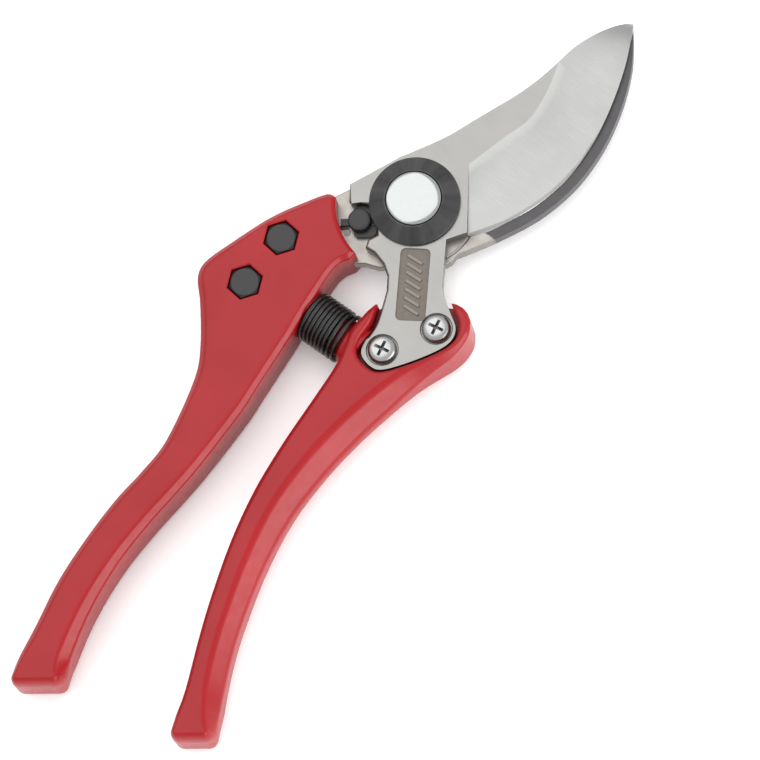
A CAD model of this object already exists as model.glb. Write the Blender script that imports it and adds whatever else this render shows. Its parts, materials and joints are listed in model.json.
import json
import math

import bmesh
import bpy
import numpy as np
from mathutils import Matrix, Vector


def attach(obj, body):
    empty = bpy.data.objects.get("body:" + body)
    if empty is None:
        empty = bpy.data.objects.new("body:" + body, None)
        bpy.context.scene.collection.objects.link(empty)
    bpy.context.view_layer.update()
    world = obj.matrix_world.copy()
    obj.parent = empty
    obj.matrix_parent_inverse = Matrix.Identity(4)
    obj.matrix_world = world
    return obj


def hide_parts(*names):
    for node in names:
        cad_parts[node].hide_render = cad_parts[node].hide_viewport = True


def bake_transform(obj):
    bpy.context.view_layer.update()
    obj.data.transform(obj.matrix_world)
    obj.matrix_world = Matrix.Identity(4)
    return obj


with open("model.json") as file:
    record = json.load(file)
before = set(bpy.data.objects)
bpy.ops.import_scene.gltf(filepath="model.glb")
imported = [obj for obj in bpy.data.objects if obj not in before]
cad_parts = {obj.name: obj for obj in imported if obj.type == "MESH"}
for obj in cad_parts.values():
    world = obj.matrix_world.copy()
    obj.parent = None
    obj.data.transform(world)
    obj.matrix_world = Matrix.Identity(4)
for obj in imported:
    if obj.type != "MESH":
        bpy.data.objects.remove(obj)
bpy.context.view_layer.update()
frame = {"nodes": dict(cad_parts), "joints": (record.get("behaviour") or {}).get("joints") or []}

# Bypass pruning shears, lying closed on a table. The shapes are drawn in millimetres around the pivot axis, with
# +Y towards the tips and +Z up, and settle() puts them in place in metres.
PIVOT = Vector(next(j for j in frame["joints"] if j["name"] == "blade_pivot")["pos_m"])
MM = 0.001

HANDLE_T = 14.0
HOOK_Z, SHEAR_Z, BLADE_TOP = 4.4, 8.0, 11.4
RING_Z, RING_TOP = 11.7, 14.6
BOLTS = [(-20.5, -26.0), (-21.0, -39.8)]
SCREWS = [(15.7, -34.0), (23.2, -22.4)]
KNOB = (-8.5, -11.1)
SPRING_Y, SPRING_FROM, SPRING_TO = -36.1, -4.8, 6.8
MARK_AT, MARK_TURN, MARK_L, MARK_W = (12.0, -16.8), -57.7, 18.0, 7.2
RIB_L, RIB_W, RIB_PITCH = 4.2, 0.8, 2.1
HEX_TURN = -7
BOLT_D, BOLT_AF, BOLT_SEAT, BOLT_TOP = 4.0, 7.0, 10.2, 13.7
SCREW_HEAD_D, SCREW_SEAT, SCREW_TOP = 7.0, 10.6, 13.0
HOLE_D = 4.2
UNDER = 0.4  # height of the lowest face of nuts and shanks
LOCK_TURN = 216.9  # direction in which the lock slides
END_SLOPE = math.tan(math.radians(36))


# ---------------------------------------------------------------- outlines

def curve(points, n=6):
    """Points of a smooth curve through the given ones, n steps between neighbours."""
    p = [np.array(q, float) for q in points]
    out = []
    for i in range(len(p) - 1):
        a, b, c, d = p[max(i - 1, 0)], p[i], p[i + 1], p[min(i + 2, len(p) - 1)]
        for k in range(n):
            t = k / n
            out.append(0.5 * (2 * b + (c - a) * t + (2 * a - 5 * b + 4 * c - d) * t * t
                              + (3 * b - a - 3 * c + d) * t ** 3))
    return out + [p[-1]]


def arc(r, start, end, n=24, centre=(0.0, 0.0), squash=1.0):
    """Points of an arc, angles in degrees."""
    return [np.array([centre[0] + r * math.cos(a), centre[1] + r * squash * math.sin(a)])
            for a in np.radians(np.linspace(start, end, n + 1))]


def box(x0, x1, y0, y1):
    """The corners of a rectangle."""
    return [(x0, y0), (x1, y0), (x1, y1), (x0, y1)]


def tidy_outline(points):
    """The closed outline as an array, counter-clockwise and without repeated points."""
    kept = []
    for p in points:
        if not kept or np.hypot(*(np.array(p) - kept[-1])) > 0.02:
            kept.append(np.array(p, float))
    if np.hypot(*(kept[0] - kept[-1])) < 0.02:
        kept.pop()
    p = np.array(kept)
    q = np.roll(p, -1, 0)
    area = (p[:, 0] * q[:, 1] - q[:, 0] * p[:, 1]).sum()
    return p if area > 0 else p[::-1]


def inset(p, d):
    """The counter-clockwise outline moved inwards by d."""
    before = p - np.roll(p, 1, 0)
    after = np.roll(p, -1, 0) - p
    before /= np.linalg.norm(before, axis=1)[:, None]
    after /= np.linalg.norm(after, axis=1)[:, None]
    n1 = np.column_stack([-before[:, 1], before[:, 0]])
    n2 = np.column_stack([-after[:, 1], after[:, 0]])
    return p + d * (n1 + n2) / np.maximum(1 + (n1 * n2).sum(1), 0.35)[:, None]


def rounded(points, radii, n=4):
    """The closed polygon with its corners turned into arcs of the given radii."""
    out = []
    for i, r in enumerate(radii):
        p = np.array(points[i], float)
        a = np.array(points[i - 1], float) - p
        b = np.array(points[(i + 1) % len(points)], float) - p
        la, lb = np.linalg.norm(a), np.linalg.norm(b)
        a, b = a / la, b / lb
        half = math.acos(np.clip(a @ b, -1, 1)) / 2
        if r <= 0 or half > 1.55:
            out.append(p)
            continue
        t = min(r / math.tan(half), 0.48 * la, 0.48 * lb)
        r = t * math.tan(half)
        centre = p + (a + b) / np.linalg.norm(a + b) * r / math.sin(half)
        s, e = p + a * t - centre, p + b * t - centre
        start, end = math.atan2(s[1], s[0]), math.atan2(e[1], e[0])
        sweep = (end - start + math.pi) % (2 * math.pi) - math.pi
        out += [centre + r * np.array([math.cos(start + sweep * k / n), math.sin(start + sweep * k / n)])
                for k in range(n + 1)]
    return out


# ---------------------------------------------------------------- meshes

def mesh(name, verts, faces):
    data = bpy.data.meshes.new(name)
    data.from_pydata([tuple(float(c) for c in v) for v in verts], [], faces)
    bm = bmesh.new()
    bm.from_mesh(data)
    bmesh.ops.remove_doubles(bm, verts=bm.verts, dist=1e-4)
    bmesh.ops.recalc_face_normals(bm, faces=bm.faces)
    bm.to_mesh(data)
    bm.free()
    ob = bpy.data.objects.new(name, data)
    bpy.context.scene.collection.objects.link(ob)
    return ob


def loft(name, rings):
    """A skin over rings of equal size, capped at both ends."""
    n, last = len(rings[0]), len(rings) - 1
    faces = [(i * n + k, i * n + (k + 1) % n, (i + 1) * n + (k + 1) % n, (i + 1) * n + k)
             for i in range(last) for k in range(n)]
    faces += [tuple(reversed(range(n))), tuple(range(last * n, (last + 1) * n))]
    return mesh(name, [v for ring in rings for v in ring], faces)


def plate(name, outline, z0, z1, bevel=0.0, steps=3):
    """A flat plate with rounded edges; bevel is one radius or a function of the outline's points."""
    p = tidy_outline(outline)
    b = bevel(p)[:, None] if callable(bevel) else np.full((len(p), 1), float(bevel))
    angles = np.linspace(0, math.pi / 2, steps + 1) if b.max() > 0 else [math.pi / 2]
    low = [(1 - math.sin(a), 1 - math.cos(a)) for a in angles]
    rings = [np.hstack([inset(p, b * d), z0 + b * h]) for d, h in low]
    rings += [np.hstack([inset(p, b * d), z1 - b * h]) for d, h in reversed(low)]
    return loft(name, rings)


def turned(name, profile, n=96, closed=False):
    """A profile of (radius, z) points turned about Z, from the axis back to the axis, or closed."""
    rings = [[(r * math.cos(a), r * math.sin(a), z) for r, z in profile]
             for a in np.linspace(0, 2 * math.pi, n, endpoint=False)]
    m = len(profile)
    faces = [(i * m + k, i * m + (k + 1) % m, (i + 1) % n * m + (k + 1) % m, (i + 1) % n * m + k)
             for i in range(n) for k in range(m if closed else m - 1)]
    return mesh(name, [v for ring in rings for v in ring], faces)


def local(point):
    """A point of a finished mesh in millimetres around the pivot."""
    return (point - Vector((PIVOT.x, PIVOT.y, 0))) / MM


def place(ob, x=0.0, y=0.0, z=0.0, turn=0.0):
    """Turns a mesh about Z by so many degrees, then moves it."""
    ob.data.transform(Matrix.Translation((x, y, z)) @ Matrix.Rotation(math.radians(turn), 4, "Z"))
    return ob


def drop(ob):
    """Throws an object and its mesh away."""
    data = ob.data
    bpy.data.objects.remove(ob)
    bpy.data.meshes.remove(data)


def combine(ob, *others, how="DIFFERENCE"):
    """Cuts the other meshes out of ob, or adds them, and throws them away."""
    for other in others:
        modifier = ob.modifiers.new("combine", "BOOLEAN")
        modifier.object, modifier.operation, modifier.solver = other, how, "EXACT"
        depsgraph = bpy.context.evaluated_depsgraph_get()
        data = bpy.data.meshes.new_from_object(ob.evaluated_get(depsgraph))
        old = ob.data
        ob.modifiers.clear()
        ob.data = data
        bpy.data.meshes.remove(old)
        drop(other)
    return ob


def join(ob, *others):
    """Puts the other meshes into ob as they are."""
    bm = bmesh.new()
    bm.from_mesh(ob.data)
    for other in others:
        bm.from_mesh(other.data)
        drop(other)
    bm.to_mesh(ob.data)
    bm.free()
    return ob


def hex_prism(name, af, z0, z1, rim=0.0, bore=0.0):
    """A hexagon prism whose corners are turned off at the top by rim."""
    r = af / math.sqrt(3)
    ob = plate(name, arc(r, 0, 300, 5), z0, z1)
    if rim:
        keep = turned("keep", [(0, z0 - 1), (r + 1, z0 - 1), (r + 1, z1 - 0.58 * (r + 1 - af / 2 + rim)),
                               (af / 2 - rim, z1), (0, z1)], 64)
        combine(ob, keep, how="INTERSECT")
    if bore:
        combine(ob, turned("bore", [(0, z0 - 1), (bore / 2, z0 - 1), (bore / 2, z1 + 1), (0, z1 + 1)], 48))
    return ob


def nut(af, height, rim, bore, at=(0, 0), turn=HEX_TURN):
    """A nut on the underside, with its turned corners facing down."""
    low, high = UNDER, UNDER + height
    ob = place(hex_prism("nut", af, low, high, rim, bore), at[0], at[1], 0, turn)
    ob.data.transform(Matrix.Translation((0, 0, low + high)) @ Matrix.Scale(-1, 4, (0, 0, 1)))
    ob.data.flip_normals()
    return ob


def gather(parts):
    """All the meshes of a list in its first one."""
    return join(parts[0], *parts[1:])


def settle(ob, name, body, materials, replaced=(), sharp=32):
    """Scales a finished mesh to metres, puts it in place and hands it to its body."""
    ob.name = ob.data.name = name
    ob.data.transform(Matrix.Translation((PIVOT.x, PIVOT.y, 0)) @ Matrix.Scale(MM, 4))
    ob.data.materials.clear()
    for m in materials if isinstance(materials, list) else [materials]:
        ob.data.materials.append(m)
    ob.data.shade_smooth()
    ob.data.set_sharp_from_angle(angle=math.radians(sharp))
    normals = ob.modifiers.new("normals", "WEIGHTED_NORMAL")
    normals.keep_sharp = True
    if replaced:
        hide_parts(*replaced)
    if body:
        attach(ob, body)
    return ob


# ---------------------------------------------------------------- materials

def add(tree, kind, inputs=None, **settings):
    """A shader node with its settings and inputs; an input that is a socket is linked."""
    node = tree.nodes.new("ShaderNode" + kind)
    for key, value in settings.items():
        setattr(node, key, value)
    for key, value in (inputs or {}).items():
        if isinstance(value, bpy.types.NodeSocket):
            tree.links.new(value, node.inputs[key])
        else:
            node.inputs[key].default_value = value
    return node


def coordinates(tree, scale=(1, 1, 1), turn=0.0):
    """Object coordinates in millimetres around the pivot, turned and stretched."""
    co = add(tree, "TexCoord").outputs["Object"]
    shifted = add(tree, "VectorMath", {0: co, 1: (PIVOT.x, PIVOT.y, 0)}, operation="SUBTRACT").outputs[0]
    mm = add(tree, "VectorMath", {0: shifted, 1: (1000, 1000, 1000)}, operation="MULTIPLY").outputs[0]
    return add(tree, "Mapping", {"Vector": mm, "Scale": scale, "Rotation": (0, 0, math.radians(turn))}).outputs[0]


def noise(tree, vector, scale, detail=3.0, roughness=0.55):
    return add(tree, "TexNoise", {"Vector": vector, "Scale": scale, "Detail": detail,
                                  "Roughness": roughness}).outputs["Fac"]


def spread(tree, value, low, high, at=(0.3, 0.7)):
    """A value between at[0] and at[1] stretched to between low and high."""
    return add(tree, "MapRange", {"Value": value, "From Min": at[0], "From Max": at[1],
                                  "To Min": low, "To Max": high}).outputs[0]


def blend_colours(tree, factor, a, b):
    node = add(tree, "Mix", data_type="RGBA")
    for key, value in (("Factor_Float", factor), ("A_Color", a), ("B_Color", b)):
        socket = next(s for s in node.inputs if s.identifier == key)
        if isinstance(value, bpy.types.NodeSocket):
            tree.links.new(value, socket)
        else:
            socket.default_value = (*value, 1.0)
    return next(s for s in node.outputs if s.identifier == "Result_Color")


def bump(tree, height, strength, distance, normal=None):
    inputs = {"Height": height, "Strength": strength, "Distance": distance * MM}
    if normal:
        inputs["Normal"] = normal
    return add(tree, "Bump", inputs).outputs[0]


def new_material(name, **fixed):
    """A node material; fixed values go straight onto the shader's sockets."""
    material = bpy.data.materials.new(name)
    material.use_nodes = True
    tree = material.node_tree
    shader = tree.nodes["Principled BSDF"]
    for key, value in fixed.items():
        shader.inputs[key.replace("_", " ")].default_value = value
    return material, tree, shader


def feed(tree, shader, **sockets):
    for key, value in sockets.items():
        tree.links.new(value, shader.inputs[key.replace("_", " ")])


def red_lacquer():
    """Satin red lacquer: slight flow unevenness, fine orange peel, a few small paler specks."""
    m, t, s = new_material("red_lacquer", Specular_IOR_Level=0.27)
    co = coordinates(t)
    broad = noise(t, co, 0.06, 2)
    cloud = noise(t, co, 0.5, 4)
    colour = blend_colours(t, spread(t, broad, 0, 1), (0.258, 0.0045, 0.007), (0.290, 0.007, 0.0105))
    speck = noise(t, co, 2.8, 2)
    colour = blend_colours(t, spread(t, speck, 0, 0.07, (0.68, 0.76)), colour, (0.45, 0.08, 0.08))
    peel = noise(t, co, 1.6, 2)
    grit = noise(t, co, 7.0, 2)
    feed(t, s, Base_Color=colour, Roughness=spread(t, cloud, 0.28, 0.36),
         Normal=bump(t, grit, 0.08, 0.02, bump(t, peel, 0.10, 0.05)))
    return m


def ground_steel(name, base, rough, grain_turn, marks=0.05, tint=(0.93, 0.95, 0.97)):
    """Ground steel: fine parallel marks, cloudy polish and a slight tint."""
    m, t, s = new_material(name)
    s.inputs["Metallic"].default_value = 1.0
    s.inputs["Anisotropic"].default_value = 0.25
    streaks = noise(t, coordinates(t, (0.25, 14, 0.25), grain_turn), 1.0, 3, 0.6)
    fine = noise(t, coordinates(t, (0.9, 45, 0.9), grain_turn), 1.0, 2, 0.5)
    cloud = noise(t, coordinates(t), 0.11, 3)
    darker = tuple(b * c for b, c in zip(base, tint))
    colour = blend_colours(t, spread(t, streaks, 0, 1), base, darker)
    uneven = add(t, "Math", {0: spread(t, cloud, -0.03, 0.03), 1: spread(t, streaks, rough - 0.03, rough + 0.05)},
                 operation="ADD").outputs[0]
    feed(t, s, Base_Color=colour, Roughness=uneven, Normal=bump(t, fine, marks, 0.02))
    return m


def coated_steel():
    """The hook: dark coating with a fine grain on the blade part, bare steel from the heel down."""
    m, t, s = new_material("coated_hook")
    co = coordinates(t)
    y = add(t, "SeparateXYZ", {0: co}).outputs["Y"]
    ragged = add(t, "Math", {0: y, 1: spread(t, noise(t, co, 1.4, 3), -0.12, 0.12)}, operation="ADD").outputs[0]
    bare = spread(t, ragged, 1, 0, (3.9, 4.25))
    grain = noise(t, co, 2.6, 4, 0.6)
    cloud = noise(t, co, 0.3, 3)
    dark = blend_colours(t, spread(t, cloud, 0, 1), (0.034, 0.031, 0.034), (0.046, 0.042, 0.046))
    steel = blend_colours(t, spread(t, cloud, 0, 1), (0.275, 0.26, 0.24), (0.245, 0.23, 0.21))
    rough = add(t, "Mix", {0: bare}, data_type="FLOAT")
    t.links.new(spread(t, grain, 0.34, 0.46), rough.inputs[2])
    t.links.new(spread(t, cloud, 0.30, 0.40), rough.inputs[3])
    feed(t, s, Base_Color=blend_colours(t, bare, dark, steel), Metallic=bare, Roughness=rough.outputs[0],
         Normal=bump(t, grain, 0.10, 0.03))
    return m


def blackened(name, base=0.035, rough=0.34, radial=0.0):
    """Black oxide: deep satin black, a little uneven, with worn specks."""
    m, t, s = new_material(name)
    s.inputs["Specular IOR Level"].default_value = 0.42
    co = coordinates(t)
    cloud = noise(t, co, 0.8, 4)
    grain = noise(t, co, 5.0, 3)
    low, high = (base * 0.85, base * 0.80, base * 0.80), (base * 1.25, base * 1.18, base * 1.2)
    colour = blend_colours(t, spread(t, cloud, 0, 1), low, high)
    colour = blend_colours(t, spread(t, grain, 0, 0.5, (0.68, 0.8)), colour, (0.09, 0.087, 0.085))
    shine = spread(t, cloud, rough - 0.05, rough + 0.06)
    if radial:
        xyz = add(t, "SeparateXYZ", {0: co})
        around = add(t, "Math", {0: xyz.outputs["Y"], 1: xyz.outputs["X"]}, operation="ARCTAN2").outputs[0]
        ring = add(t, "CombineXYZ", {"X": around}).outputs[0]
        wedge = noise(t, ring, 1.7, 2)
        colour = blend_colours(t, spread(t, wedge, 0, radial, (0.38, 0.62)), colour, (0.10, 0.098, 0.105))
    feed(t, s, Base_Color=colour, Roughness=shine, Normal=bump(t, grain, 0.06, 0.02))
    return m


def plated(name, base, rough, lathe=0.0, uneven=0.94):
    """Bright plating: faint polishing marks and cloudy spots."""
    m, t, s = new_material(name)
    s.inputs["Metallic"].default_value = 1.0
    co = coordinates(t)
    cloud = noise(t, co, 0.7, 4)
    fine = noise(t, co, 6.0, 3)
    colour = blend_colours(t, spread(t, cloud, 0, 1), base, tuple(uneven * b for b in base))
    feed(t, s, Base_Color=colour, Roughness=spread(t, cloud, rough, rough + 0.08),
         Normal=bump(t, fine, 0.04 + lathe, 0.015))
    return m


def etched(name, low, high):
    """Etched steel: dull, blotchy and slightly brown."""
    m, t, s = new_material(name)
    s.inputs["Metallic"].default_value = 0.75
    co = coordinates(t)
    blotch = noise(t, co, 1.1, 4)
    colour = blend_colours(t, spread(t, blotch, 0, 1), low, high)
    feed(t, s, Base_Color=colour, Roughness=spread(t, blotch, 0.45, 0.6),
         Normal=bump(t, noise(t, co, 4, 3), 0.2, 0.03))
    return m


def sintered():
    """Porous bronze."""
    m, t, s = new_material("sintered_bronze")
    s.inputs["Metallic"].default_value = 1.0
    co = coordinates(t)
    pores = noise(t, co, 6, 3)
    colour = blend_colours(t, spread(t, pores, 0, 1), (0.40, 0.26, 0.14), (0.62, 0.43, 0.24))
    feed(t, s, Base_Color=colour, Roughness=spread(t, pores, 0.35, 0.55), Normal=bump(t, pores, 0.15, 0.03))
    return m


def dull_polymer():
    """Pitted black polymer."""
    m, t, s = new_material("matt_polymer")
    co = coordinates(t)
    pits = noise(t, co, 5, 3)
    colour = blend_colours(t, spread(t, pits, 0, 1), (0.018, 0.018, 0.018), (0.035, 0.035, 0.036))
    feed(t, s, Base_Color=colour, Roughness=spread(t, pits, 0.55, 0.7), Normal=bump(t, pits, 0.15, 0.03))
    return m


RED = red_lacquer()
BLADE = ground_steel("ground_blade", (0.300, 0.300, 0.290), 0.30, -12, 0.03)
BLADE_FLAT = ground_steel("satin_shank", (0.255, 0.247, 0.235), 0.36, 60, 0.04)
MARK = etched("etched_recess", (0.115, 0.10, 0.085), (0.165, 0.148, 0.128))
RIB = etched("worn_ribs", (0.165, 0.15, 0.132), (0.215, 0.20, 0.18))
DEEP = etched("dull_recess", (0.14, 0.14, 0.138), (0.18, 0.18, 0.178))
SCALE = ground_steel("forge_scale", (0.11, 0.103, 0.096), 0.42, 60, 0.06)
HOOK = coated_steel()
BLACK = blackened("black_oxide", 0.010, 0.36)
RING = blackened("turned_black", 0.010, 0.36, 0.25)
SPRING = blackened("spring_black", 0.008, 0.26)
CHROME = plated("polished_cap", (0.345, 0.358, 0.356), 0.12, 0.0, 0.98)
ZINC = plated("zinc_plate", (0.355, 0.36, 0.358), 0.24, 0.05)
BRONZE = sintered()
POLYMER = dull_polymer()


# ---------------------------------------------------------------- handles

# Profiles of a handle's edge, as shares of its width and of its drop: a facet with softened corners along
# the sides, and a plain rounding at the end.
FACET = np.array([(0, 1.35), (0.02, 1.12), (0.07, 0.96), (0.17, 0.82), (0.5, 0.5), (0.78, 0.21), (0.92, 0.08),
                  (1.1, 0.01)])
ROUND = np.array([(1 - math.cos(a), 1 - math.sin(a)) for a in np.linspace(0, math.pi / 2, 8)])


def end_line(stations, column, at):
    """One edge of a handle down to the slanted cut through at, and the corner it makes there."""
    line = np.array(curve(stations, 6))[:, [column, 0]]
    above = line[:, 1] - at[1] - END_SLOPE * (line[:, 0] - at[0])
    last = int(np.argmax(above < 0))
    part = above[last - 1] / (above[last - 1] - above[last])
    corner = line[last - 1] + part * (line[last] - line[last - 1])
    return [q for q in line[:last] if np.hypot(*(q - corner)) > 4.2], corner


def smoothed(outline, values, reach=1.6):
    """Values along a closed outline averaged over about reach millimetres."""
    step = np.linalg.norm(np.roll(outline, -1, 0) - outline, axis=1)
    along = np.concatenate([[0], np.cumsum(step)[:-1]])
    gap = np.abs(along[:, None] - along[None, :])
    gap = np.minimum(gap, step.sum() - gap)
    weight = np.exp(-(gap / reach) ** 2) * (step + np.roll(step, 1))
    return (weight @ values) / weight.sum(1)


def grip(name, stations, head, at, corner_r, soft):
    """A handle raised from its outline: shoulder outside, chamfer inside, soft head, rounded slanted end.

    at is a point on the slanted end; soft holds the edge widths around the head and around the end.
    """
    inner_side, inner_corner = end_line(stations, 1, at)
    outer_side, outer_corner = end_line(stations, 2, at)
    inner_side = [q for q in inner_side if q[1] < head[0][1] - 1.6]
    outer_side = [q for q in outer_side if q[1] < head[-1][1] - 1]
    outline = list(head) + outer_side + [outer_corner, inner_corner] + inner_side[::-1]
    radii = [0] * (len(head) + len(outer_side)) + corner_r + [0] * len(inner_side)
    outline = tidy_outline(rounded(outline, radii, 8))
    x, y = outline[:, 0], outline[:, 1]
    table = np.array(stations)
    inner, outer, shoulder, chamfer = (np.interp(-y, -table[:, 0], table[:, k]) for k in range(1, 5))
    to_end = (y - at[1] - END_SLOPE * (x - at[0])) * math.cos(math.atan(END_SLOPE))
    on_inner, on_outer = np.abs(x - inner) < 0.6, np.abs(x - outer) < 0.6
    ramp = np.interp(to_end, [2, 12], [0.7, 1])
    width = np.where(to_end > 12, soft[0], soft[1])
    width = np.where(on_inner, chamfer, width)
    width = np.where(on_outer, shoulder * ramp, width)
    width = np.where(to_end < 1.5, soft[1], width)
    # The face is crowned along the grip: crown is its height, spare the width of the slope up to it.
    body = (to_end > 9) & (y < -33)
    crown = smoothed(outline, np.where(body, 0.16, 0.02), 3)
    spare = smoothed(outline, np.where(body, np.where(on_outer, 0.35, 0.7), 0.05), 3)
    width = smoothed(outline, width)
    # nose is 1 at the slanted end, where the facet turns into a deeper rounding.
    nose = smoothed(outline, np.interp(to_end, [1.5, 6], [1, 0]))[:, None]
    fall = width[:, None] * (0.95 + 1.6 * nose)
    steps = [((1 - nose) * facet + nose * round_) for facet, round_ in zip(FACET, ROUND)]
    rings = []
    for step in reversed(steps):
        rings.append(np.hstack([inset(outline, width[:, None] * step[:, :1]), fall * step[:, 1:]]))
    for step in steps:
        rings.append(np.hstack([inset(outline, width[:, None] * step[:, :1]),
                                HANDLE_T - crown[:, None] - fall * step[:, 1:]]))
    for k, drop in ((1, 0.35), (2, 0)):
        rings.append(np.column_stack([inset(outline, (1.1 * width + k * spare)[:, None]), HANDLE_T - drop * crown]))
    return loft(name, rings)


def spring_seat(x, towards):
    """A pad with a boss that holds one end of the spring."""
    profile = [(0, 0), (5.7, 0), (5.7, 3.6), (5.58, 3.88), (5.3, 4), (5.0, 4), (4.88, 4.1), (4.8, 4.3),
               (4.8, 6.3), (4.65, 6.65), (4.3, 6.8), (0, 6.8)]
    ob = turned("seat", profile, 72)
    aim = Matrix.Rotation(towards * math.pi / 2, 4, "Y")
    ob.data.transform(Matrix.Translation((x, SPRING_Y, HANDLE_T / 2)) @ aim)
    return ob


# Stations: y, x of the inner edge, x of the outer edge, width of the shoulder, width of the inner chamfer.
LEFT = [
    (-10.1, -5.9, -16.5, 1.3, 1.0), (-10.5, -5.7, -18.1, 1.3, 1.0), (-11.5, -5.3, -19, 1.3, 1.0),
    (-17.6, -3.7, -22.9, 1.4, 1.1), (-20.3, -3.8, -24.5, 1.4, 1.2), (-22.8, -5.2, -25.8, 1.4, 1.2),
    (-26, -5.7, -27.2, 1.4, 1.2), (-33.6, -5.2, -30, 1.4, 1.3), (-39.5, -4.7, -32, 1.4, 1.3),
    (-43, -4.2, -32.3, 1.4, 1.3), (-46, -3.9, -30.9, 1.4, 1.4), (-50, -3.6, -27.1, 1.4, 1.4),
    (-58.3, -3, -20.6, 1.4, 1.4), (-66, -2.4, -16.6, 1.4, 1.5), (-81.5, -2.5, -13, 1.4, 1.6),
    (-91, -3.1, -13.1, 1.4, 1.7), (-100.4, -3.9, -14, 1.4, 1.8), (-112, -4.1, -14, 1.4, 2.0),
    (-123.8, -2.8, -13.1, 1.4, 2.3), (-135, 0, -10.9, 1.4, 2.7), (-146, 4.2, -8.8, 1.4, 3.0),
    (-157, 8.4, -5.7, 1.4, 3.0),
]
RIGHT = [
    (-13.2, 10.6, 20, 0.8, 1.0), (-14.4, 10.3, 24.2, 0.8, 1.0), (-15, 10.2, 26.4, 0.8, 1.0),
    (-15.7, 10.1, 28, 0.8, 1.0), (-16.6, 10, 29.2, 0.8, 1.0), (-18, 9.7, 30.3, 0.9, 1.0),
    (-20, 9.3, 31, 1.0, 1.0), (-23.4, 8.9, 31.2, 1.2, 1.0), (-27, 8.2, 30.5, 1.9, 1.0),
    (-31, 7.2, 29.1, 2.6, 1.1), (-35, 7, 27.8, 3.4, 1.1), (-39, 8.1, 26.8, 4.1, 1.1),
    (-44, 9.2, 25.8, 4.7, 1.2), (-54, 9.8, 23.9, 5.0, 1.2), (-66, 10.4, 22.5, 5.0, 1.2),
    (-79, 11.8, 22.4, 4.7, 1.2), (-92, 14.7, 24.4, 4.2, 1.1), (-105, 18.9, 28, 3.9, 1.0),
    (-115, 22.7, 31.7, 3.9, 1.0), (-127, 27.8, 37.5, 4.1, 0.9), (-134, 30, 41, 4.3, 0.9),
    (-146, 33.6, 46.8, 4.3, 0.9),
]
# Heads, from the inner side round to the outer side.
LEFT_HEAD = arc(19.05, 258.8, 212.5, 20) + [(-16.6, -10.15), (-17.5, -10.25), (-18.3, -10.7)]
RIGHT_HEAD = [(7.15, -31), (7.4, -28.6), (8, -26.2), (8.7, -25), (9.6, -24.3), (10.8, -23.7),
              (20.5, -17), (22.2, -15.7), (23.8, -15), (25.8, -14.9), (27.5, -15.3), (29, -16.3), (30.2, -18)]

HOOK_OUTER = curve([(15.4, 67), (19, 62.3), (22.6, 56.3), (26, 47.6), (28.2, 37.5), (28.4, 26.3), (25.8, 15),
                    (20.4, 3.9), (15.2, -4.5)], 8)
HOOK_INNER = curve([(9.5, 10.6), (13.5, 13.5), (17.8, 19), (20.6, 26), (21.7, 34), (21.3, 42), (19.8, 50),
                    (17.3, 58), (14.3, 65.4)], 8)
TANG_RIGHT = [(1.7, -17.5), (-1.6, -18.6), (-4.8, -20.8), (-9.5, -28), (-13.6, -37)]
TANG_LEFT = [(-27.3, -37), (-26.6, -30), (-23.6, -21.5), (-19.2, -12.2), (-15.7, -5.3), (-12, 2.4)]
HOOK_OUTLINE = (HOOK_OUTER + arc(16.4, -22, -78) + TANG_RIGHT + arc(7.2, -8, -168, 20, BOLTS[1], 6 / 7.2)
                + TANG_LEFT + arc(11.2, 150, 55) + HOOK_INNER)
FOOT = curve([(18, -13.2), (20, -15), (23.6, -17.3), (26.9, -19.6), (27.9, -22.6), (26.8, -26.3), (23.1, -32.4),
              (18.8, -37.8), (15.8, -38.9), (12.4, -37.9), (11, -35.2), (10.6, -29.6), (7.6, -21.5)], 8)
SPINE = curve([(-9.7, 7.2), (-6.7, 12.1), (-3.4, 18), (-0.8, 24.2), (1.6, 29.9), (4, 35.6), (5.9, 41.6),
               (7.2, 47.5), (8.2, 53), (10, 58), (12.4, 62.3), (14.7, 65.2), (16.2, 66.4)], 8)
EDGE = curve([(16.2, 66.4), (20.5, 57.3), (23.8, 47.1), (25.7, 37.3), (25.9, 26.6), (23.4, 15.7), (18, 4.4)], 8)
HEEL = [(15.6, 1.8), (14.2, 0.2), (11.8, -3.2)]
NOTCH = [(-3, -15.9), (-3.7, -14), (-2.6, -11.8), (-4.5, -9.2), (-7, -7.4), (-9, -6.9), (-10.7, -7.6),
         (-12.3, -9.1), (-13.2, -8.9)]
BLADE_OUTLINE = (SPINE + EDGE + HEEL + FOOT + [(5.6, -18.6), (3, -16.8), (-0.4, -15.8)] + NOTCH + [(-15.6, -5.3)])


def drill(d, z0, z1, at=(0, 0), flare=0.0):
    """A round cutter, opened out at its top by flare."""
    r = d / 2
    profile = [(0, z0), (r, z0), (r, z1 - flare), (r + flare, z1), (r + flare, z1 + 3), (0, z1 + 3)]
    return place(turned("drill", profile, 64), *at)


def hex_well(af, z0, z1, at, turn, rim=0.25):
    """A hexagonal cutter from z0 up past z1, with a bevelled mouth at z1."""
    r = af / math.sqrt(3)
    rings = [[(*p, z) for p in arc(rr, 0, 300, 5)] for rr, z in
             ((r, z0), (r, z1 - rim), (r + 1.15 * rim, z1), (r + 1.15 * rim, z1 + 3))]
    return place(loft("well", rings), at[0], at[1], 0, turn)


def upside_down(ob):
    """Turns a cutter drawn from z up into one that opens downwards from the underside."""
    ob.data.transform(Matrix.Scale(-1, 4, (0, 0, 1)))
    ob.data.flip_normals()
    return ob


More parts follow.
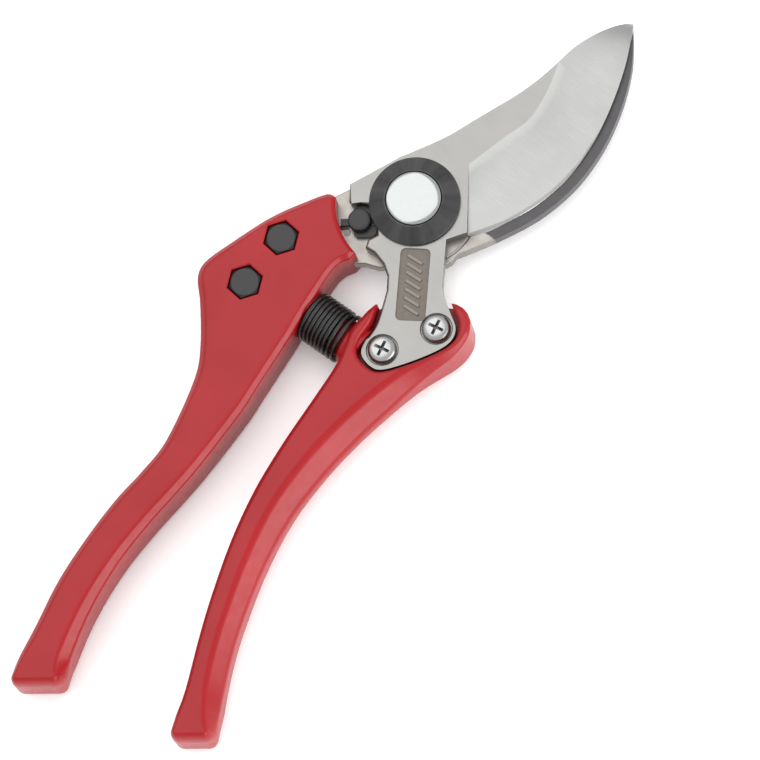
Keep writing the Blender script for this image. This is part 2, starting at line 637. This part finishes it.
left = grip("left_grip", LEFT, LEFT_HEAD, (-2, -146.9), [3.4, 3.2], (0.8, 1.6))
combine(left, plate("slot", inset(tidy_outline(HOOK_OUTLINE), -0.08), HOOK_Z - 0.05, SHEAR_Z + 0.05))
for spot in BOLTS:
    combine(left, hex_well(BOLT_AF + 0.8, BOLT_SEAT, HANDLE_T - 0.05, spot, HEX_TURN), drill(HOLE_D, -1, 12, spot),
            upside_down(hex_well(7.6, -3.3, 0, spot, HEX_TURN, 0.3)))
dish = turned("dish", [(r, HANDLE_T + z) for r, z in
                       ((0, -0.12), (0.5, -0.11), (0.9, -0.07), (1.25, -0.01), (1.6, 0.1), (1.6, 1), (0, 1))], 48)
combine(left, place(dish, -20.8, -32.7))
channel = plate("channel", box(3.7, 6.7, -1.0, 1.0), SHEAR_Z, SHEAR_Z + 1.5)
combine(left, place(channel, *KNOB, 0, LOCK_TURN))
join(left, spring_seat(SPRING_FROM - 4, 1))
settle(left, "left_grip", "hook_side", RED, ["left_handle"])

right = grip("right_grip", RIGHT, RIGHT_HEAD, (37, -135.4), [3.6, 3.4], (1.3, 1.7))
foot_line = tidy_outline(list(FOOT) + [(5.6, -18.6), (8, -8), (17, -8)])
pocket = loft("pocket", [[(*p, z) for p in inset(foot_line, d)] for d, z in
                         ((-1.0, SHEAR_Z), (-1.0, 12.9), (-1.12, 13.4), (-1.45, 13.8), (-1.9, 14.0), (-1.9, 17))])
combine(right, pocket)
for spot in SCREWS:
    combine(right, drill(HOLE_D, -1, 9, spot), upside_down(hex_well(7.4, -3.3, 0, spot, 27, 0.3)))
join(right, spring_seat(SPRING_TO + 4, -1))
settle(right, "right_grip", "blade_side", RED, ["right_handle"])


# ---------------------------------------------------------------- blade and hook

def blade_bevel(p):
    """Edge rounding of the blade: fine along the spine, broad along the shank's left side."""
    ahead = np.roll(p, -1, 0) - np.roll(p, 1, 0)
    leftwards = ahead[:, 1] / np.linalg.norm(ahead, axis=1) < 0.35
    shank = (p[:, 1] < -6) & (p[:, 1] > -34) & (p[:, 0] < 12) & leftwards
    return np.where(shank, 0.55, 0.14)


blade = plate("blade", BLADE_OUTLINE, SHEAR_Z, BLADE_TOP, blade_bevel, 3)
GRIND_IN = curve([(16.4, 68), (13.8, 65.6), (11, 62), (8, 56), (7, 50.5), (7.8, 47.1), (9.1, 42.5), (10, 37.2),
                  (10.1, 31.8), (8, 25.4), (6.6, 20.5), (5, 15)], 8)
GRIND_OUT = curve([(17.2, 68.6), (18.4, 65.5), (20.3, 61), (22.4, 55.2), (24, 49.5), (25, 45), (25.6, 41), (26, 36),
                   (26.2, 30), (24.6, 19.8), (20.4, 9.2), (14.9, 0.95)], 8)


def grind_ring(a, b):
    """Section of the grind between its inner line a and the edge b, hollow, with a narrow bright bevel."""
    a, b = np.array(a), np.array(b)
    reach = np.linalg.norm(b - a)
    out = (b - a) / reach
    bevel = min(0.5, 0.3 * reach)
    low, lip = SHEAR_Z + 1.15, SHEAR_Z + 0.3
    rows = [(a - out * 0.6, BLADE_TOP + (BLADE_TOP - low) * 0.6 / reach * 0.9)]
    for k in range(8):
        f = k / 7
        hollow = f + 0.06 * math.sin(math.pi * f)
        rows.append((a + out * (reach - bevel) * f, BLADE_TOP - (BLADE_TOP - low) * hollow))
    rows.append((b, lip))
    rows.append((b + out * 1.0, lip - 0.9))
    rows += [(b + out * 1.0, BLADE_TOP + 3), (a - out * 0.6, BLADE_TOP + 3)]
    return [(q[0], q[1], z) for q, z in rows]


combine(blade, loft("grind", [grind_ring(a, b) for a, b in zip(GRIND_IN, GRIND_OUT)]))
combine(blade, drill(11, SHEAR_Z - 3, BLADE_TOP + 1))
for spot in SCREWS:
    combine(blade, drill(HOLE_D, SHEAR_Z - 1, BLADE_TOP, spot), drill(7.6, BLADE_TOP - 0.8, BLADE_TOP, spot, 0.15))
recess_rings = []
for grow, up in ((-0.15, -0.4), (0, -0.3), (0.05, 0.2), (0.05, 2)):
    corners = box(-MARK_L / 2 - grow, MARK_L / 2 + grow, -MARK_W / 2 - grow, MARK_W / 2 + grow)
    recess_rings.append([(*p, BLADE_TOP + up) for p in tidy_outline(rounded(corners, [1.3] * 4, 8))])
combine(blade, place(loft("recess", recess_rings), *MARK_AT, 0, MARK_TURN))
ribs = []
for k in range(-3, 4):
    bar = box(-RIB_L / 2, RIB_L / 2, -RIB_W / 2, RIB_W / 2)
    rib = place(plate("rib", bar, BLADE_TOP - 0.45, BLADE_TOP - 0.06, 0.1, 2), turn=60)
    ribs.append(place(place(rib, RIB_PITCH * k), *MARK_AT, 0, MARK_TURN))
# The lock's channel in the underside, and the wider opening for the knob.
for opening in (box(-6.6, -3, -2.3, 2.3), box(-4.05, 3.6, -4.05, 4.05)):
    combine(blade, place(plate("channel", opening, SHEAR_Z - 1, SHEAR_Z + 1.8), *KNOB, 0, LOCK_TURN))
stop_arc = arc(9.5, 15.9, 69.1, 24) + arc(6.9, 69.1, 15.9, 24)
combine(blade, plate("groove", stop_arc, SHEAR_Z - 1, SHEAR_Z + 1.6))
join(blade, *ribs)
settle(blade, "blade", "blade_side", [BLADE, BLADE_FLAT, MARK, SCALE, RIB], ["cutting_blade"], 24)

# The blade's own materials: the recess and its ribs, the shank's rounded left edge, and the flat faces.
turn = math.radians(-MARK_TURN)
for face in blade.data.polygons:
    c = local(face.center)
    dx, dy = c.x - MARK_AT[0], c.y - MARK_AT[1]
    u, v = dx * math.cos(turn) - dy * math.sin(turn), dx * math.sin(turn) + dy * math.cos(turn)
    if abs(u) < MARK_L / 2 + 0.2 and abs(v) < MARK_W / 2 + 0.2 and BLADE_TOP - 0.5 < c.z < BLADE_TOP - 0.02:
        face.material_index = 4 if c.z > BLADE_TOP - 0.2 else 2
    elif c.y < -6 and face.normal.z > 0.1 and face.normal.z < 0.98 and face.normal.x < 0.5 and c.x < 11.5:
        face.material_index = 3
    elif face.normal.z > 0.999 or c.z < BLADE_TOP - 0.3 and abs(face.normal.z) < 0.3:
        face.material_index = 1

hook = plate("hook", HOOK_OUTLINE, HOOK_Z, SHEAR_Z, 0.3, 3)
combine(hook, drill(8, HOOK_Z - 1, SHEAR_Z + 1))
window = [(-12.4, -14.7), (-11, -13.4), (-9.2, -14.2), (-8.7, -15.1), (-9.5, -16)]
combine(hook, plate("window", window, HOOK_Z - 1, SHEAR_Z + 1))
rim = [(14.6, SHEAR_Z + 1), (14.6, SHEAR_Z - 0.02), (14.85, SHEAR_Z - 0.14), (15.15, SHEAR_Z - 0.14),
       (15.4, SHEAR_Z - 0.02), (15.4, SHEAR_Z + 1)]
hub = [[(r * math.cos(a), r * math.sin(a), z) for r, z in rim] for a in np.radians(np.linspace(-34, 10, 36))]
combine(hook, loft("hub_line", hub))
settle(hook, "hook", "hook_side", HOOK, ["hook_blade"], 34)


# ---------------------------------------------------------------- pivot, fasteners, lock

RING_R = 11.0
ring_profile = [(4.1, RING_Z), (RING_R - 0.15, RING_Z), (RING_R, RING_Z + 0.15), (RING_R, RING_Z + 0.5),
                (RING_R - 0.12, RING_Z + 0.68), (7.5, RING_TOP - 0.28), (7.1, RING_TOP - 0.1),
                (6.9, RING_TOP - 0.12), (6.8, RING_TOP - 0.3), (6.8, RING_Z + 1), (4.1, RING_Z + 1)]
ring = turned("ring", ring_profile, 160, True)
settle(ring, "pivot_collar", "hook_side", RING, ["pivot_ring"], 30)

cap_edge = [(6.35, 14.56), (6.58, 14.45), (6.68, 14.28), (6.7, 14.1)]
cap_profile = [(0, 15.03), (1.5, 15.02), (3.0, 14.98), (4.5, 14.88), (5.6, 14.74)] + cap_edge + [
    (6.7, RING_Z + 1), (4, RING_Z + 1), (4, 0.9), (3.5, 0.4), (0, 0.4)]
settle(turned("cap", cap_profile, 160), "pivot_cap", "hook_side", CHROME, ["pivot_bolt"], 30)

SHANK_END = [(BOLT_D / 2, UNDER + 0.4), (BOLT_D / 2 - 0.4, UNDER), (0, UNDER)]


def hex_bolt(spot):
    head = hex_prism("head", BOLT_AF, BOLT_SEAT, BOLT_TOP, 0.2)
    shank = turned("shank", [(0, BOLT_SEAT + 0.1), (BOLT_D / 2, BOLT_SEAT + 0.1)] + SHANK_END, 48)
    return place(join(head, shank), spot[0], spot[1], 0, HEX_TURN)


def cross_screw(spot):
    """A pan head screw with a tapered cross recess."""
    head = [(0, 0), (1.2, 0.03), (2.1, 0.14), (2.8, 0.38), (3.25, 0.75), (3.46, 1.2), (SCREW_HEAD_D / 2, 1.6)]
    profile = [(r, SCREW_TOP - down) for r, down in head]
    profile += [(SCREW_HEAD_D / 2, SCREW_SEAT), (BOLT_D / 2, SCREW_SEAT)] + SHANK_END
    ob = turned("screw", profile, 72)
    for across in (10, 100):
        rings = [[(x * reach, y * half, SCREW_TOP + up) for x, y in ((-1, -1), (1, -1), (1, 1), (-1, 1))]
                 for reach, half, up in ((0.8, 0.26, -1.4), (2.15, 0.40, 0.05), (2.3, 0.43, 0.6))]
        combine(ob, place(loft("cross", rings), turn=across))
    return place(ob, *spot)


settle(gather([hex_bolt(spot) for spot in BOLTS]), "hex_bolts", "hook_side", BLACK,
       ["handle_bolts"], 30)
settle(gather([nut(BOLT_AF, 2.4, 0.2, BOLT_D, spot) for spot in BOLTS]), "hex_nuts", "hook_side",
       BLACK, ["handle_nuts"], 30)
settle(nut(13, 3.4, 0.3, 8), "pivot_hex_nut", "hook_side", BLACK, ["pivot_nut"], 30)

screws = gather([cross_screw(spot) for spot in SCREWS])
settle(screws, "cross_screws", "blade_side", [ZINC, DEEP], ["blade_screws"], 30)
for face in screws.data.polygons:
    # The faces of the recess lie below the dome of the head.
    c = local(face.center)
    away = min(math.dist((c.x, c.y), spot) for spot in SCREWS)
    if away < 2.2 and 11 < c.z < np.interp(away, [0, 1.2, 2.1], [12.9, 12.87, 12.76]):
        face.material_index = 1
settle(gather([nut(BOLT_AF, 2.9, 0.2, BOLT_D, spot, 27) for spot in SCREWS]), "screw_nuts", "blade_side",
       ZINC, ["blade_screw_nuts"], 30)

knob_profile = [(0, 11.28), (1.6, 11.27), (2.3, 11.22), (2.65, 11.08), (2.78, 10.85), (2.8, 10.6), (2.8, 9.45),
                (2.65, 9.3), (1.0, 9.3), (1.0, 8.0), (0, 8.0)]
knob = place(turned("knob", knob_profile, 72), *KNOB)
settle(knob, "thumb_knob", "lock", BLACK, ["lock_knob"], 30)

# The return spring: one smooth coil whose weight runs from the left handle to the right one.
wire, coil_r, turns = 0.55, 5.9, 8.8
room = SPRING_TO - SPRING_FROM - 2 * wire
steps, sides = 352, 12
rings, share = [], []
for k in range(steps + 1):
    at_turn = turns * k / steps
    a = 2 * math.pi * at_turn
    # Close-wound for seven turns, one open turn, then the last one against the handle.
    x = SPRING_FROM + wire + np.interp(at_turn, [0, 7, 8, turns], [0, 7.91, 9.66, room])
    thin = 1.0 if 2 < k < steps - 2 else 0.8
    rings.append([(x + wire * thin * math.sin(b), SPRING_Y + (coil_r + wire * thin * math.cos(b)) * math.cos(a),
                   HANDLE_T / 2 + (coil_r + wire * thin * math.cos(b)) * math.sin(a))
                  for b in np.linspace(0, 2 * math.pi, sides, endpoint=False)])
    share.append(min(max((at_turn - 0.8) / (turns - 1.6), 0.0), 1.0))
coil = loft("coil", rings)
settle(coil, "return_coil", None, SPRING, ["return_spring"], 50)
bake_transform(coil)

for node, material in (("handle_washers", ZINC), ("pivot_nut_washer", ZINC), ("stop_pin", ZINC),
                       ("pivot_bush", BRONZE), ("friction_washer", POLYMER), ("lock_leaf_spring", ZINC),
                       ("lock_slider", BLACK)):
    part = frame["nodes"][node]
    for material_slot in part.material_slots:
        material_slot.material = material


# ---------------------------------------------------------------- floor, light, camera

# A white sheet just under the tool. It glows faintly, which keeps the shadow on it pale.
FLOOR_HALF, FLOOR_Z = 4, -0.0002
corners = [(x * FLOOR_HALF, y * FLOOR_HALF, FLOOR_Z) for x, y in ((-1, -1), (1, -1), (1, 1), (-1, 1))]
floor = bpy.data.objects.new("floor", bpy.data.meshes.new("floor"))
floor.data.from_pydata(corners, [], [(0, 1, 2, 3)])
bpy.context.scene.collection.objects.link(floor)
paper, tree, shader = new_material("paper")
shader.inputs["Base Color"].default_value = (0.97, 0.97, 0.97, 1)
shader.inputs["Roughness"].default_value = 0.9
shader.inputs["Specular IOR Level"].default_value = 0.1
shader.inputs["Emission Color"].default_value = (1, 1, 1, 1)
shader.inputs["Emission Strength"].default_value = 0.13
floor.data.materials.append(paper)

world = bpy.data.worlds.new("studio")
bpy.context.scene.world = world
world.use_nodes = True
world.node_tree.nodes["Background"].inputs["Color"].default_value = (1.0, 1.0, 1.0, 1)
world.node_tree.nodes["Background"].inputs["Strength"].default_value = 1.05


def softbox(name, position, size_x, size_y, power):
    """A rectangular light, in metres and watts, turned to the middle of the frame."""
    data = bpy.data.lights.new(name, "AREA")
    data.shape, data.size, data.size_y, data.energy = "RECTANGLE", size_x, size_y, power
    ob = bpy.data.objects.new(name, data)
    bpy.context.scene.collection.objects.link(ob)
    ob.location = position
    ob.rotation_euler = (-Vector(position)).to_track_quat("-Z", "Y").to_euler()


# One large light overhead, and a low one at the right for the shoulders and walls.
softbox("top", (-0.80, 0.30, 2.0), 2.4, 2.4, 27)
softbox("side", (1.30, 0.10, 0.42), 1.4, 0.55, 15)

# Camera: looks at TARGET (mm around the pivot) from above, leaning a little to the picture's right and bottom.
# In the picture the tool's axis stands CAMERA_TURN degrees to the right of upright.
TARGET, DISTANCE = Vector((18.78, -39.69, 7.8)), 1200
CAMERA_TURN, LEAN_RIGHT, LEAN_DOWN = 35, 0.131, 0.282
camera = bpy.data.objects.new("camera", bpy.data.cameras.new("camera"))
bpy.context.scene.collection.objects.link(camera)
camera.data.lens, camera.data.sensor_width = 238.8, 36.0
camera.data.clip_start, camera.data.clip_end = 0.05, 20
back = Vector((LEAN_RIGHT, -LEAN_DOWN, 1)).normalized()
right_hand = (Vector((1, 0, 0)) - back.x * back).normalized()
facing = Matrix((right_hand, back.cross(right_hand), back)).transposed()
facing = Matrix.Rotation(math.radians(CAMERA_TURN), 3, "Z") @ facing
eye = (TARGET + DISTANCE * facing.col[2]) * MM + Vector((PIVOT.x, PIVOT.y, 0))
camera.matrix_world = Matrix.Translation(eye) @ facing.to_4x4()
bpy.context.scene.camera = camera
bpy.context.scene.view_settings.view_transform = "Standard"
